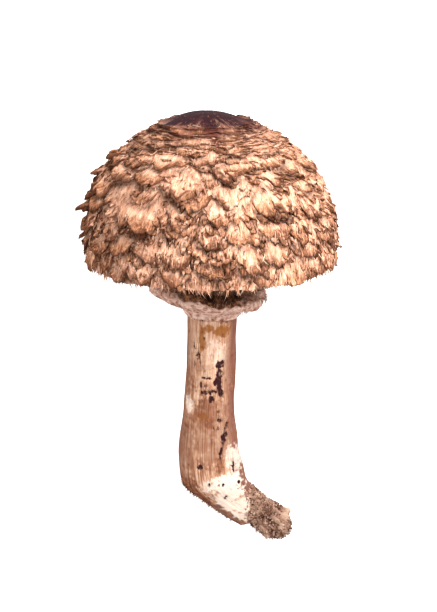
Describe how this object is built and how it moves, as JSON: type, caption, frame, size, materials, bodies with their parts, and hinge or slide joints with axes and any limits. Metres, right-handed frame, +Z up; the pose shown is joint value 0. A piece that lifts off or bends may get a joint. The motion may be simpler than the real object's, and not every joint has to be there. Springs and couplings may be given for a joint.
{
  "type": "parasol mushroom",
  "caption": "Young parasol mushroom lying on its side: domed cap with shaggy scales, free gills, ragged ring, and a stem whose foot bends into a clump of soil.",
  "frame": {"origin": "on the surface that the mushroom lies on, under the middle of its bounding box", "axes": "+Y runs from the foot to the cap along the mushroom's length, +Z is up from the surface, +X is to the right when seen from above with the cap at the far end"},
  "size_m": [0.0914, 0.156, 0.0878],
  "materials": {
    "cap": "dry, fibrous, with lifted brown scales",
    "gills": "matt, soft",
    "stem": "matt, with long fibres and brown bruises",
    "ring": "felted, ragged",
    "soil": "dry crumbs of earth with rootlets"
  },
  "bodies": {
    "root": {"cap": "cap", "gills": "gills", "stem": "stem", "ring": "ring", "soil": "soil"}
  },
  "joints": []
}
